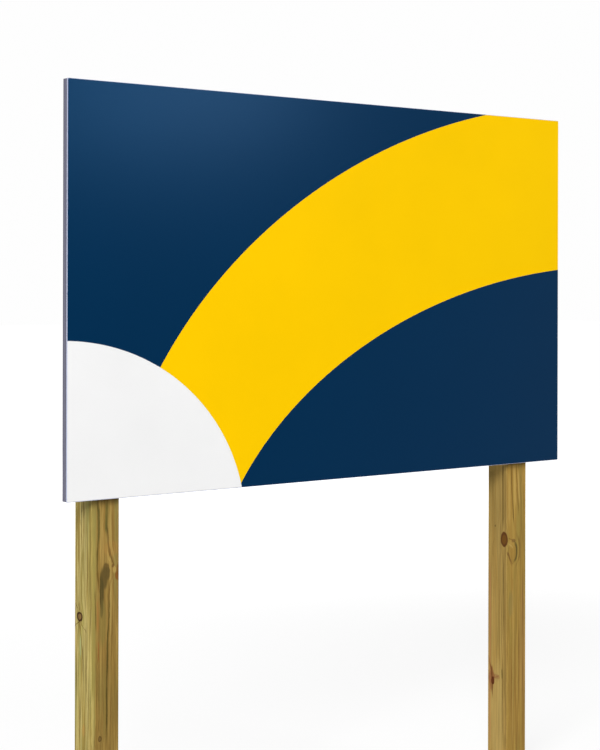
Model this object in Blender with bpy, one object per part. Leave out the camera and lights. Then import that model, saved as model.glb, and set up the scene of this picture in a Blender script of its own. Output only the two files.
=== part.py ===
"""Advertising board: a printed composite sheet on an aluminium tube frame, bolted to two timber posts.

Frame of the model: X runs along the board, from the viewer's left to right. The printed face looks
towards -Y. Z is up, and the posts stand on Z = 0. The origin is the bottom centre of the bounding box.
All sizes are in metres.
"""

import math

import bmesh
import bpy
from mathutils import Matrix, Vector

# Board and its height above the ground
BOARD_WIDTH = 2.0
BOARD_HEIGHT = 1.2
GROUND_CLEARANCE = 1.1
CORNER_RADIUS = 0.003

# Face sheet, print film and mounting tape
SHEET_THICKNESS = 0.004
FILM_THICKNESS = 0.0004
FILM_MARGIN = 0.0012
FILM_CUTTER_REACH = 0.002
TAPE_THICKNESS = 0.001
TAPE_MARGIN = 0.001

# Gap left between pieces that touch
FIT_GAP = 0.0003

# Print, which is drawn to fill the board. Each arc is part of an ellipse, placed from the lower left
# corner. The sizes are shares: those along the board of its width, and those upwards of its height.
DISC_CENTRE = (-0.0110, -0.1033)
DISC_HALF_WIDTH = 0.3250
DISC_HALF_HEIGHT = 0.4842
BAND_OUTER_CENTRE = (1.1430, -0.2058)
BAND_OUTER_HALF_WIDTH = 1.0805
BAND_OUTER_HALF_HEIGHT = 1.2617
BAND_INNER_CENTRE = (1.1490, -0.3158)
BAND_INNER_HALF_WIDTH = 0.9080
BAND_INNER_HALF_HEIGHT = 0.8883
ARC_STEPS = 360

# Aluminium frame: square tube round the edge, flatter rectangular tube for the two cross rails
FRAME_SETBACK = 0.001
TUBE_SIZE = 0.020
TUBE_WALL = 0.002
TUBE_EDGE_RADIUS = 0.0008
BORE_EDGE_RADIUS = 0.0004
CROSS_RAIL_HEIGHT = 0.040
CROSS_RAIL_INSET = 0.300
KEY_LEG_LENGTH = 0.055

# Cleats and blind rivets that join the cross rails to the stiles
CLEAT_LEG = 0.030
CLEAT_THICKNESS = 0.002
CLEAT_SETBACK = 0.0025
RIVET_RADIUS = 0.0024
RIVET_HEAD_OVERHANG = 0.0021
RIVET_HEAD_HEIGHT = 0.0014
RIVET_DOME_STEPS = (30, 60, 85)
RIVET_TAIL_RISE = 0.001
RIVET_TAIL_LENGTH = 0.0032

# Timber posts
POST_SIZE = 0.093
POST_ARRIS_RADIUS = 0.003
LEFT_POST_INSET = 0.098
RIGHT_POST_INSET = 0.132
POST_TOP_DROP = 0.020
POST_HOLE_CLEARANCE = 0.0005

# Bolts, washers and rivet nuts, one set where each post crosses each rail
BOLT_RADIUS = 0.004
BOLT_TIP_CLEARANCE = 0.0009
BOLT_TIP_CHAMFER = 0.001
BOLT_HEAD_OVERHANG = 0.0025
BOLT_HEAD_HEIGHT = 0.0053
BOLT_FACE_SHARE = 0.95
BOLT_HEAD_TURN = 7.5
WASHER_RIM = 0.0107
WASHER_THICKNESS = 0.002
NUT_WALL = 0.0012
NUT_FLANGE_OVERHANG = 0.002
NUT_FLANGE_THICKNESS = 0.0012
NUT_BULGE_RISE = 0.0013
NUT_BULGE_LENGTH = 0.0034
NUT_END_CLEARANCE = 0.004

ROUND_STEPS = 24
SMALL_ROUND_STEPS = 16
CORNER_STEPS = 3
SMOOTH_ANGLE = math.radians(35)

# Depths from the printed face to the back, worked out from the sizes above
TOTAL_DEPTH = (
    FILM_THICKNESS + FIT_GAP + SHEET_THICKNESS + FIT_GAP + TAPE_THICKNESS + FIT_GAP + TUBE_SIZE
    + FIT_GAP + POST_SIZE + FIT_GAP + WASHER_THICKNESS + FIT_GAP + BOLT_HEAD_HEIGHT
)
FILM_FRONT = -TOTAL_DEPTH / 2
FILM_BACK = FILM_FRONT + FILM_THICKNESS
SHEET_FRONT = FILM_BACK + FIT_GAP
SHEET_BACK = SHEET_FRONT + SHEET_THICKNESS
TAPE_FRONT = SHEET_BACK + FIT_GAP
TAPE_BACK = TAPE_FRONT + TAPE_THICKNESS
TUBE_FRONT = TAPE_BACK + FIT_GAP
TUBE_BACK = TUBE_FRONT + TUBE_SIZE
POST_FRONT = TUBE_BACK + FIT_GAP
POST_BACK = POST_FRONT + POST_SIZE
WASHER_FRONT = POST_BACK + FIT_GAP
BOLT_HEAD_FRONT = WASHER_FRONT + WASHER_THICKNESS + FIT_GAP

BOARD_LEFT = -BOARD_WIDTH / 2
BOARD_RIGHT = BOARD_WIDTH / 2
BOARD_BOTTOM = GROUND_CLEARANCE
BOARD_TOP = GROUND_CLEARANCE + BOARD_HEIGHT
FRAME_LEFT = BOARD_LEFT + FRAME_SETBACK
FRAME_RIGHT = BOARD_RIGHT - FRAME_SETBACK
FRAME_BOTTOM = BOARD_BOTTOM + FRAME_SETBACK
FRAME_TOP = BOARD_TOP - FRAME_SETBACK
RAIL_LEFT = FRAME_LEFT + TUBE_SIZE + FIT_GAP
RAIL_RIGHT = FRAME_RIGHT - TUBE_SIZE - FIT_GAP
RAIL_HEIGHTS = {
    "upper": BOARD_TOP - CROSS_RAIL_INSET,
    "lower": BOARD_BOTTOM + CROSS_RAIL_INSET,
}
POST_CENTRES = {
    "left": BOARD_LEFT + LEFT_POST_INSET + POST_SIZE / 2,
    "right": BOARD_RIGHT - RIGHT_POST_INSET - POST_SIZE / 2,
}
POST_TOP = BOARD_TOP - POST_TOP_DROP

# A rivet's tail starts behind the two pieces that it joins, and a bolt ends inside the cross rail
RIVET_TAIL_START = CLEAT_THICKNESS + TUBE_WALL + 3 * FIT_GAP
BOLT_LENGTH = BOLT_HEAD_FRONT - TUBE_BACK + TUBE_SIZE - TUBE_WALL - BOLT_TIP_CLEARANCE
BOLT_HEAD_FLAT = BOLT_RADIUS + BOLT_HEAD_OVERHANG
BOLT_HEAD_CORNER = BOLT_HEAD_FLAT / math.cos(math.radians(30))

# Turns that lay a piece modelled along +Z on another axis
FACING_FRONT = Matrix.Rotation(math.radians(90), 4, "X")
FACING_RIGHT = Matrix.Rotation(math.radians(90), 4, "Y")
FACING_LEFT = Matrix.Rotation(math.radians(-90), 4, "Y")
FACING_UP = Matrix.Identity(4)
FACING_DOWN = Matrix.Rotation(math.radians(180), 4, "X")


def clear_scene():
    for obj in list(bpy.data.objects):
        bpy.data.objects.remove(obj)


def make_material(name, colour, roughness, metallic):
    material = bpy.data.materials.new(name)
    material.use_nodes = True
    material.diffuse_color = (*colour, 1.0)
    shader = material.node_tree.nodes["Principled BSDF"]
    shader.inputs["Base Color"].default_value = (*colour, 1.0)
    shader.inputs["Roughness"].default_value = roughness
    shader.inputs["Metallic"].default_value = metallic
    return material


def add_object(name, mesh, material=None, turn=None, location=(0.0, 0.0, 0.0)):
    """Link a mesh into the scene as a named object, turned first and then placed."""
    obj = bpy.data.objects.new(name, mesh)
    if material:
        mesh.materials.clear()
        mesh.materials.append(material)
    obj.location = location
    if turn:
        obj.rotation_euler = turn.to_euler()
    bpy.context.scene.collection.objects.link(obj)
    return obj


def boolean(piece, cutter, operation):
    """Cut, keep or join with another object, which then serves as a helper only."""
    cutter.hide_render = True
    cutter.display_type = "WIRE"
    modifier = piece.modifiers.new(cutter.name, "BOOLEAN")
    modifier.operation = operation
    modifier.object = cutter


def loft(name, loops):
    """Skin closed loops of equal length one after the other, and cap both ends."""
    bm = bmesh.new()
    rings = [[bm.verts.new(point) for point in loop] for loop in loops]
    for ring, following in zip(rings, rings[1:]):
        for i in range(len(ring)):
            j = (i + 1) % len(ring)
            bm.faces.new((ring[i], ring[j], following[j], following[i]))
    bm.faces.new(rings[0])
    bm.faces.new(rings[-1])
    return finished_mesh(name, bm)


def finished_mesh(name, bm):
    bmesh.ops.recalc_face_normals(bm, faces=bm.faces)
    mesh = bpy.data.meshes.new(name)
    bm.to_mesh(mesh)
    bm.free()
    mesh.shade_smooth()
    mesh.set_sharp_from_angle(angle=SMOOTH_ANGLE)
    return mesh


def turned(name, profile, steps):
    """Turn a profile of (radius, height) points about Z. An open profile starts and ends on the axis."""
    bm = bmesh.new()
    verts = [bm.verts.new((radius, 0.0, height)) for radius, height in profile]
    edges = [bm.edges.new(pair) for pair in zip(verts, verts[1:])]
    if profile[0][0] > 0:
        edges.append(bm.edges.new((verts[-1], verts[0])))
    bmesh.ops.spin(
        bm, geom=verts + edges, axis=(0, 0, 1), cent=(0, 0, 0), angle=2 * math.pi, steps=steps,
        use_merge=True, use_duplicate=False,
    )
    bmesh.ops.remove_doubles(bm, verts=bm.verts, dist=1e-6)
    return finished_mesh(name, bm)


def rounded_rectangle(width, height, radius, steps):
    """Points round a rectangle centred on the origin, with an arc at each corner."""
    points = []
    corners = ((1, 1, 0), (-1, 1, 90), (-1, -1, 180), (1, -1, 270))
    for side_x, side_y, start in corners:
        for step in range(steps + 1):
            angle = math.radians(start + 90 * step / steps)
            x = side_x * (width / 2 - radius) + radius * math.cos(angle)
            y = side_y * (height / 2 - radius) + radius * math.sin(angle)
            points.append((x, y))
    return points


def plate(name, width, height, radius, front, back):
    """An upright sheet centred on the board, between two depths."""
    centre = BOARD_BOTTOM + BOARD_HEIGHT / 2
    outline = rounded_rectangle(width, height, radius, CORNER_STEPS)
    return loft(name, [[(x, y, centre + z) for x, z in outline] for y in (front, back)])


def block(name, low, high):
    """A plain box between two corners."""
    outline = ((low[0], low[1]), (high[0], low[1]), (high[0], high[1]), (low[0], high[1]))
    return loft(name, [[(x, y, z) for x, y in outline] for z in (low[2], high[2])])


def drill(name, lengths, turn, location):
    """A round cutter along the turned Z axis: one (radius, length) pair for each of its steps."""
    profile = [(0.0, 0.0)]
    reached = 0.0
    for radius, length in lengths:
        profile.append((radius, reached))
        reached += length
        profile.append((radius, reached))
    profile.append((0.0, reached))
    return add_object(name, turned(name, profile, ROUND_STEPS), turn=turn, location=location)


# Printed face


def ellipse_cutter(name, centre, half_width, half_height, growth):
    """An elliptical block across the film, grown or shrunk to leave the gap between neighbours."""
    middle_x = BOARD_LEFT + centre[0] * BOARD_WIDTH
    middle_z = BOARD_BOTTOM + centre[1] * BOARD_HEIGHT
    reach_x = half_width * BOARD_WIDTH + growth
    reach_z = half_height * BOARD_HEIGHT + growth
    loops = []
    for y in (FILM_FRONT - FILM_CUTTER_REACH, FILM_BACK + FILM_CUTTER_REACH):
        loop = []
        for step in range(ARC_STEPS):
            angle = 2 * math.pi * step / ARC_STEPS
            loop.append((middle_x + reach_x * math.cos(angle), y, middle_z + reach_z * math.sin(angle)))
        loops.append(loop)
    return add_object(name, loft(name, loops))


def print_cutters():
    """Each arc of the print as a slightly small block, to keep what is inside it, and a large one."""
    shapes = {
        "disc": (DISC_CENTRE, DISC_HALF_WIDTH, DISC_HALF_HEIGHT),
        "band_outer": (BAND_OUTER_CENTRE, BAND_OUTER_HALF_WIDTH, BAND_OUTER_HALF_HEIGHT),
        "band_inner": (BAND_INNER_CENTRE, BAND_INNER_HALF_WIDTH, BAND_INNER_HALF_HEIGHT),
    }
    cutters = {}
    for name, shape in shapes.items():
        cutters[name, "inside"] = ellipse_cutter(f"{name}_inside", *shape, -FIT_GAP / 2)
        cutters[name, "outside"] = ellipse_cutter(f"{name}_outside", *shape, FIT_GAP / 2)
    return cutters


def make_film(name, material, kept, removed, cutters):
    width = BOARD_WIDTH - 2 * FILM_MARGIN
    height = BOARD_HEIGHT - 2 * FILM_MARGIN
    mesh = plate(name, width, height, CORNER_RADIUS, FILM_FRONT, FILM_BACK)
    film = add_object(name, mesh, material)
    for shape in kept:
        boolean(film, cutters[shape, "inside"], "INTERSECT")
    for shape in removed:
        boolean(film, cutters[shape, "outside"], "DIFFERENCE")


def make_print():
    navy = make_material("navy_film", (0.004, 0.028, 0.081), 0.35, 0.0)
    yellow = make_material("yellow_film", (0.95, 0.59, 0.004), 0.35, 0.0)
    white = make_material("white_film", (0.87, 0.87, 0.87), 0.35, 0.0)
    cutters = print_cutters()
    make_film("white_film", white, ["disc"], [], cutters)
    make_film("yellow_film", yellow, ["band_outer"], ["band_inner", "disc"], cutters)
    make_film("navy_film_lower", navy, ["band_inner"], ["disc"], cutters)
    make_film("navy_film_upper", navy, [], ["band_outer", "disc"], cutters)


def make_face_sheet():
    sheet = make_material("composite_sheet", (0.52, 0.55, 0.66), 0.4, 0.0)
    mesh = plate("face_sheet", BOARD_WIDTH, BOARD_HEIGHT, CORNER_RADIUS, SHEET_FRONT, SHEET_BACK)
    add_object("face_sheet", mesh, sheet)


def make_tapes():
    """Foam tape on the front of every frame member and rail, a little narrower than the tube."""
    foam = make_material("foam_tape", (0.18, 0.19, 0.26), 0.9, 0.0)
    left = FRAME_LEFT + TAPE_MARGIN
    right = FRAME_RIGHT - TAPE_MARGIN
    bottom = FRAME_BOTTOM + TAPE_MARGIN
    top = FRAME_TOP - TAPE_MARGIN
    width = TUBE_SIZE - 2 * TAPE_MARGIN
    inner_left = left + width + FIT_GAP
    inner_right = right - width - FIT_GAP
    strips = {
        "top": (left, right, top - width, top),
        "bottom": (left, right, bottom, bottom + width),
        "left": (left, left + width, bottom + width + FIT_GAP, top - width - FIT_GAP),
        "right": (right - width, right, bottom + width + FIT_GAP, top - width - FIT_GAP),
    }
    half_rail = CROSS_RAIL_HEIGHT / 2 - TAPE_MARGIN
    for level, height in RAIL_HEIGHTS.items():
        strips[f"{level}_rail"] = (inner_left, inner_right, height - half_rail, height + half_rail)
    for side, (x_low, x_high, z_low, z_high) in strips.items():
        name = f"foam_tape_{side}"
        mesh = block(name, (x_low, TAPE_FRONT, z_low), (x_high, TAPE_BACK, z_high))
        add_object(name, mesh, foam)


# Aluminium frame


def tube(name, length, height, mitre):
    """A hollow tube along X, centred on the origin. With a mitre, its ends slope in towards +Z."""
    bm = bmesh.new()
    outer = rounded_rectangle(TUBE_SIZE, height, TUBE_EDGE_RADIUS, CORNER_STEPS)
    bore = (TUBE_SIZE - 2 * TUBE_WALL, height - 2 * TUBE_WALL)
    inner = rounded_rectangle(*bore, BORE_EDGE_RADIUS, CORNER_STEPS)
    ends = []
    for side in (-1, 1):
        rings = []
        for outline in (outer, inner):
            ring = []
            for y, z in outline:
                setback = z + height / 2 if mitre else 0.0
                ring.append(bm.verts.new((side * (length / 2 - setback), y, z)))
            rings.append(ring)
        ends.append(rings)
    count = len(outer)
    for i in range(count):
        j = (i + 1) % count
        for (outer_ring, inner_ring) in ends:
            bm.faces.new((outer_ring[i], outer_ring[j], inner_ring[j], inner_ring[i]))
        for first, second in zip(ends[0], ends[1]):
            bm.faces.new((first[i], first[j], second[j], second[i]))
    return finished_mesh(name, bm)


def make_frame(aluminium):
    """Four mitred members. The long edge of each lies on the outside of the frame."""
    depth = TUBE_FRONT + TUBE_SIZE / 2
    middle_x = (FRAME_LEFT + FRAME_RIGHT) / 2
    middle_z = (FRAME_BOTTOM + FRAME_TOP) / 2
    mitre_gap = FIT_GAP * math.sqrt(2)
    across = FRAME_RIGHT - FRAME_LEFT - mitre_gap
    upright = FRAME_TOP - FRAME_BOTTOM - mitre_gap
    half = TUBE_SIZE / 2
    rows = {
        "bottom": (across, 0, (middle_x, depth, FRAME_BOTTOM + half)),
        "right": (upright, -90, (FRAME_RIGHT - half, depth, middle_z)),
        "top": (across, 180, (middle_x, depth, FRAME_TOP - half)),
        "left": (upright, 90, (FRAME_LEFT + half, depth, middle_z)),
    }
    members = {}
    for side, (length, degrees, location) in rows.items():
        name = f"frame_{side}"
        turn = Matrix.Rotation(math.radians(degrees), 4, "Y")
        mesh = tube(name, length, TUBE_SIZE, mitre=True)
        members[side] = add_object(name, mesh, aluminium, turn, location)
    return members


def make_corner_keys():
    """An L-shaped key inside each mitred corner, with a leg in each tube."""
    nylon = make_material("corner_key", (0.05, 0.05, 0.055), 0.6, 0.0)
    depth = TUBE_FRONT + TUBE_WALL + FIT_GAP, TUBE_BACK - TUBE_WALL - FIT_GAP
    inset = TUBE_WALL + FIT_GAP
    thickness = TUBE_SIZE - 2 * inset
    corners = {
        "top_left": (FRAME_LEFT, FRAME_TOP, 1, -1),
        "top_right": (FRAME_RIGHT, FRAME_TOP, -1, -1),
        "bottom_left": (FRAME_LEFT, FRAME_BOTTOM, 1, 1),
        "bottom_right": (FRAME_RIGHT, FRAME_BOTTOM, -1, 1),
    }
    reach = inset + KEY_LEG_LENGTH
    inner = inset + thickness
    outline = ((inset, inset), (reach, inset), (reach, inner), (inner, inner), (inner, reach), (inset, reach))
    for corner, (x, z, inward_x, inward_z) in corners.items():
        name = f"corner_key_{corner}"
        loops = [[(x + inward_x * u, y, z + inward_z * v) for u, v in outline] for y in depth]
        add_object(name, loft(name, loops), nylon)


def make_cross_rails(aluminium):
    depth = TUBE_FRONT + TUBE_SIZE / 2
    length = RAIL_RIGHT - RAIL_LEFT
    middle = (RAIL_LEFT + RAIL_RIGHT) / 2
    rails = {}
    for level, height in RAIL_HEIGHTS.items():
        name = f"cross_rail_{level}"
        mesh = tube(name, length, CROSS_RAIL_HEIGHT, mitre=False)
        rails[level] = add_object(name, mesh, aluminium, location=(middle, depth, height))
    return rails


# Cleats and rivets


def rivet_profile():
    """A set blind rivet along +Z: domed head below zero, shank, and the tail bulged behind the wall."""
    head = RIVET_RADIUS + RIVET_HEAD_OVERHANG
    tail = RIVET_RADIUS + RIVET_TAIL_RISE
    points = [(0.0, -RIVET_HEAD_HEIGHT)]
    for degrees in RIVET_DOME_STEPS:
        angle = math.radians(degrees)
        points.append((head * math.sin(angle), -RIVET_HEAD_HEIGHT * math.cos(angle)))
    points += [
        (head, 0.0),
        (RIVET_RADIUS, 0.0),
        (RIVET_RADIUS, RIVET_TAIL_START),
        (tail, RIVET_TAIL_START),
        (tail, RIVET_TAIL_START + RIVET_TAIL_LENGTH / 2),
        (0.0, RIVET_TAIL_START + RIVET_TAIL_LENGTH),
    ]
    return points


def cleat_mesh(name, inward, away):
    """An angle with its corner at the origin, one leg on the stile and one along the rail."""
    outline = (
        (0.0, 0.0),
        (CLEAT_LEG, 0.0),
        (CLEAT_LEG, CLEAT_THICKNESS),
        (CLEAT_THICKNESS, CLEAT_THICKNESS),
        (CLEAT_THICKNESS, CLEAT_LEG),
        (0.0, CLEAT_LEG),
    )
    half = TUBE_SIZE / 2 - CLEAT_SETBACK
    return loft(name, [[(inward * u, y, away * v) for u, v in outline] for y in (-half, half)])


def add_rivet(name, mesh, material, turn, location, joined):
    """Set a rivet, and drill its hole through the two pieces that it joins."""
    add_object(name, mesh, material, turn, location)
    start = Vector(location) - turn.to_3x3() @ Vector((0.0, 0.0, RIVET_HEAD_HEIGHT))
    depth = RIVET_HEAD_HEIGHT + RIVET_TAIL_START + RIVET_TAIL_LENGTH
    cutter = drill(f"{name}_drill", ((RIVET_RADIUS + FIT_GAP, depth),), turn, start)
    for piece in joined:
        boolean(piece, cutter, "DIFFERENCE")


def make_cleats(aluminium, frame, rails):
    """A cleat under each end of the upper rail and on each end of the lower rail, with two rivets."""
    rivet_metal = make_material("rivet", (0.62, 0.63, 0.65), 0.35, 1.0)
    rivet_mesh = turned("cleat_rivet", rivet_profile(), SMALL_ROUND_STEPS)
    depth = TUBE_FRONT + TUBE_SIZE / 2
    stand_off = CLEAT_THICKNESS + FIT_GAP
    along = (CLEAT_THICKNESS + CLEAT_LEG) / 2
    levels = {"upper": (-1, FACING_UP), "lower": (1, FACING_DOWN)}
    sides = {
        "left": (1, FACING_LEFT, FRAME_LEFT + TUBE_SIZE),
        "right": (-1, FACING_RIGHT, FRAME_RIGHT - TUBE_SIZE),
    }
    for level, (away, into_rail) in levels.items():
        z = RAIL_HEIGHTS[level] + away * (CROSS_RAIL_HEIGHT / 2 + FIT_GAP)
        for side, (inward, into_stile, stile_face) in sides.items():
            x = stile_face + inward * FIT_GAP
            name = f"rail_cleat_{level}_{side}"
            cleat = add_object(name, cleat_mesh(name, inward, away), aluminium, location=(x, depth, z))
            on_stile = (x + inward * stand_off, depth, z + away * along)
            on_rail = (x + inward * along, depth, z + away * stand_off)
            rivet = f"cleat_rivet_{level}_{side}"
            joined = (cleat, frame[side])
            add_rivet(f"{rivet}_stile", rivet_mesh, rivet_metal, into_stile, on_stile, joined)
            joined = (cleat, rails[level])
            add_rivet(f"{rivet}_rail", rivet_mesh, rivet_metal, into_rail, on_rail, joined)


# Posts and their bolts


def make_posts():
    pine = make_material("treated_pine", (0.36, 0.26, 0.085), 0.75, 0.0)
    depth = POST_FRONT + POST_SIZE / 2
    outline = rounded_rectangle(POST_SIZE, POST_SIZE, POST_ARRIS_RADIUS, CORNER_STEPS)
    posts = {}
    for side, centre in POST_CENTRES.items():
        name = f"post_{side}"
        mesh = loft(name, [[(x, y, z) for x, y in outline] for z in (0.0, POST_TOP)])
        posts[side] = add_object(name, mesh, pine, location=(centre, depth, 0.0))
    return posts


def bolt_profile():
    """Along +Z from the outer face of the head to the tip, with the head's corners chamfered."""
    face = BOLT_FACE_SHARE * BOLT_HEAD_FLAT
    chamfer = (BOLT_HEAD_CORNER - face) * math.tan(math.radians(30))
    tip = BOLT_HEAD_HEIGHT + BOLT_LENGTH
    return (
        (0.0, 0.0),
        (face, 0.0),
        (BOLT_HEAD_CORNER, chamfer),
        (BOLT_HEAD_CORNER, BOLT_HEAD_HEIGHT),
        (BOLT_RADIUS, BOLT_HEAD_HEIGHT),
        (BOLT_RADIUS, tip - BOLT_TIP_CHAMFER),
        (BOLT_RADIUS - BOLT_TIP_CHAMFER, tip),
        (0.0, tip),
    )


def bolt_mesh():
    """The turned blank, cut to six flats by a hexagonal bar that its shank fits inside."""
    blank = add_object("bolt_blank", turned("bolt_blank", bolt_profile(), ROUND_STEPS))
    loops = []
    for z in (-BOLT_HEAD_HEIGHT, BOLT_LENGTH + 2 * BOLT_HEAD_HEIGHT):
        loop = []
        for i in range(6):
            angle = math.radians(60 * i + BOLT_HEAD_TURN)
            loop.append((BOLT_HEAD_CORNER * math.cos(angle), BOLT_HEAD_CORNER * math.sin(angle), z))
        loops.append(loop)
    hexagon = add_object("bolt_hexagon", loft("bolt_hexagon", loops))
    boolean(blank, hexagon, "INTERSECT")
    bpy.context.view_layer.update()
    graph = bpy.context.evaluated_depsgraph_get()
    mesh = bpy.data.meshes.new_from_object(blank.evaluated_get(graph))
    mesh.shade_smooth()
    mesh.set_sharp_from_angle(angle=SMOOTH_ANGLE)
    bpy.data.objects.remove(blank)
    bpy.data.objects.remove(hexagon)
    return mesh


def washer_profile():
    hole = BOLT_RADIUS + FIT_GAP
    rim = hole + WASHER_RIM
    return ((hole, 0.0), (rim, 0.0), (rim, WASHER_THICKNESS), (hole, WASHER_THICKNESS))


def rivet_nut_profile():
    """Along +Z into the tube, with zero on the tube's rear face: flange, neck, bulge and barrel."""
    bore = BOLT_RADIUS + FIT_GAP
    body = bore + NUT_WALL
    flange = body + NUT_FLANGE_OVERHANG
    bulge = body + NUT_BULGE_RISE
    inside = TUBE_WALL + FIT_GAP
    end = TUBE_SIZE - TUBE_WALL - NUT_END_CLEARANCE
    return (
        (bore, -FIT_GAP - NUT_FLANGE_THICKNESS),
        (flange, -FIT_GAP - NUT_FLANGE_THICKNESS),
        (flange, -FIT_GAP),
        (body, -FIT_GAP),
        (body, inside),
        (bulge, inside),
        (bulge, inside + NUT_BULGE_LENGTH),
        (body, inside + NUT_BULGE_LENGTH),
        (body, end),
        (bore, end),
    )


def make_bolts(posts, rails):
    """A bolt, a washer and a rivet nut at each crossing, with the holes that they pass through."""
    steel = make_material("zinc_plated_steel", (0.55, 0.56, 0.58), 0.35, 1.0)
    bolt = bolt_mesh()
    washer = turned("bolt_washer", washer_profile(), ROUND_STEPS)
    nut = turned("rivet_nut", rivet_nut_profile(), SMALL_ROUND_STEPS)
    back = BOLT_HEAD_FRONT + BOLT_HEAD_HEIGHT
    nut_body = BOLT_RADIUS + FIT_GAP + NUT_WALL
    recess = NUT_FLANGE_THICKNESS + FIT_GAP
    over = FIT_GAP
    post_hole = (
        (BOLT_RADIUS + POST_HOLE_CLEARANCE, over + POST_SIZE - recess),
        (nut_body + NUT_FLANGE_OVERHANG + FIT_GAP, recess + over),
    )
    wall_hole = ((nut_body + FIT_GAP, over + TUBE_WALL + over),)
    for level, z in RAIL_HEIGHTS.items():
        for side, x in POST_CENTRES.items():
            crossing = f"{level}_{side}"
            washer_at = (x, WASHER_FRONT + WASHER_THICKNESS, z)
            add_object(f"post_bolt_{crossing}", bolt, steel, FACING_FRONT, (x, back, z))
            add_object(f"bolt_washer_{crossing}", washer, steel, FACING_FRONT, washer_at)
            add_object(f"rivet_nut_{crossing}", nut, steel, FACING_FRONT, (x, TUBE_BACK, z))
            cutter = drill(f"post_drill_{crossing}", post_hole, FACING_FRONT, (x, POST_BACK + over, z))
            boolean(posts[side], cutter, "DIFFERENCE")
            cutter = drill(f"wall_drill_{crossing}", wall_hole, FACING_FRONT, (x, TUBE_BACK + over, z))
            boolean(rails[level], cutter, "DIFFERENCE")


def main():
    clear_scene()
    make_print()
    make_face_sheet()
    make_tapes()
    aluminium = make_material("frame_aluminium", (0.17, 0.165, 0.22), 0.45, 0.6)
    frame = make_frame(aluminium)
    make_corner_keys()
    rails = make_cross_rails(aluminium)
    make_cleats(aluminium, frame, rails)
    posts = make_posts()
    make_bolts(posts, rails)


main()
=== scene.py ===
import math

import bpy
from mathutils import Matrix, Vector


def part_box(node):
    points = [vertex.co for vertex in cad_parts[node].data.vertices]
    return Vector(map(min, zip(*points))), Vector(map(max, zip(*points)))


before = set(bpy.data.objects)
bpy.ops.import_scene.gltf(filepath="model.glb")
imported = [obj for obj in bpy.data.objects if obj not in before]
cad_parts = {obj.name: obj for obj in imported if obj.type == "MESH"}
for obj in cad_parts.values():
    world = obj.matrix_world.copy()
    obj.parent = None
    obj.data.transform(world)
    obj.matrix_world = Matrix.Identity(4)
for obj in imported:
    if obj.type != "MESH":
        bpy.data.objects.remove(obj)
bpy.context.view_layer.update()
print("frame loaded:", len(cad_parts), "nodes")

mm = 0.001
noiseLow, noiseMiddle, noiseHigh = 0.3, 0.5, 0.7      # the span of most of a noise's values
squareOn = 0.7      # a face looks along an axis if its normal has more than this of it


def linear(hexColour):
    # sRGB hex to linear, with alpha 1
    parts = [int(hexColour[i:i + 2], 16) / 255 for i in (1, 3, 5)]
    parts = [c / 12.92 if c <= 0.04045 else ((c + 0.055) / 1.055) ** 2.4 for c in parts]
    return (*parts, 1.0)


def addNode(tree, kind, inputs=None, **settings):
    # one node, its settings, and its inputs: a number or colour is set, a node or socket is linked
    node = tree.nodes.new("ShaderNode" + kind)
    for name, value in settings.items():
        setattr(node, name, value)
    for key, value in (inputs or {}).items():
        if isinstance(value, bpy.types.Node):
            tree.links.new(value.outputs[0], node.inputs[key])
        elif isinstance(value, bpy.types.NodeSocket):
            tree.links.new(value, node.inputs[key])
        else:
            node.inputs[key].default_value = value
    return node


def distanceFrom(tree, value, middle):
    # how far a value lies from a middle one, either way
    offset = addNode(tree, "Math", {0: value, 1: middle}, operation="SUBTRACT")
    return addNode(tree, "Math", {0: offset}, operation="ABSOLUTE")


def newMaterial(name):
    material = bpy.data.materials.new(name)
    material.use_nodes = True
    material.node_tree.nodes.clear()
    return material, material.node_tree


def finishMaterial(tree, inputs):
    shader = addNode(tree, "BsdfPrincipled", inputs)
    addNode(tree, "OutputMaterial", {"Surface": shader})


def dress(names, material):
    for name in names:
        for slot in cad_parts[name].material_slots:
            slot.material = material


def dressAll(start, material):
    # every node whose name starts so
    dress([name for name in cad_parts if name.startswith(start)], material)


# Camera, at the photograph's viewing angle

camera = {
    "place": (-3.4778, -4.2690, 1.7145),
    "turn": -38.238,      # degrees about the vertical
    "roll": 0.137,
    "lens": 82.296,
    "sensor": 36.0,
    "shiftY": -0.1192,
    "clipEnd": 200.0,     # metres, past the floor's far corner
}


def makeCamera():
    data = bpy.data.cameras.new("camera")
    data.lens = camera["lens"]
    data.sensor_width = camera["sensor"]
    data.shift_y = camera["shiftY"]
    data.clip_end = camera["clipEnd"]
    eye = bpy.data.objects.new("camera", data)
    eye.matrix_world = (
        Matrix.Translation(camera["place"])
        @ Matrix.Rotation(math.radians(camera["turn"]), 4, "Z")
        @ Matrix.Rotation(math.radians(90), 4, "X")      # from looking down to looking level
        @ Matrix.Rotation(math.radians(camera["roll"]), 4, "Z")
    )
    bpy.context.scene.collection.objects.link(eye)
    bpy.context.scene.camera = eye
    bpy.context.scene.view_settings.view_transform = "Standard"


# Light, world and floor

studio = {
    "ambient": 0.40,          # the world as the object's surfaces see it
    "background": 0.99,       # the world as the camera and reflections see it
    "floorColour": "#8C8C8C",
    "floorNear": 0.73,        # what the camera sees of the floor beside its own light, at the posts
    "floorFar": 0.91,         # and far behind them
    "nearRadius": 3.0,        # metres from the origin, where the near level starts to turn
    "farRadius": 9.0,         # and where it has become the far one
    "floorHalf": 60.0,
}
lamps = {
    # place, aimed at, width, height, power, colour
    "keyLamp": ((-11.2, -8.8, 7.9), (0.0, 0.0, 1.5), 6.8, 5.6, 2235.0, "#FFFFFF"),
    "rearFill": ((6.0, 9.0, 5.0), (0.0, 0.0, 1.3), 5.0, 4.0, 620.0, "#FFFFFF"),
    "glowLamp": ((3.703, -6.686, 3.235), (-0.689, 0.0, 2.305), 1.9, 0.6, 96.0, "#FFFFFF"),
}


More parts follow.
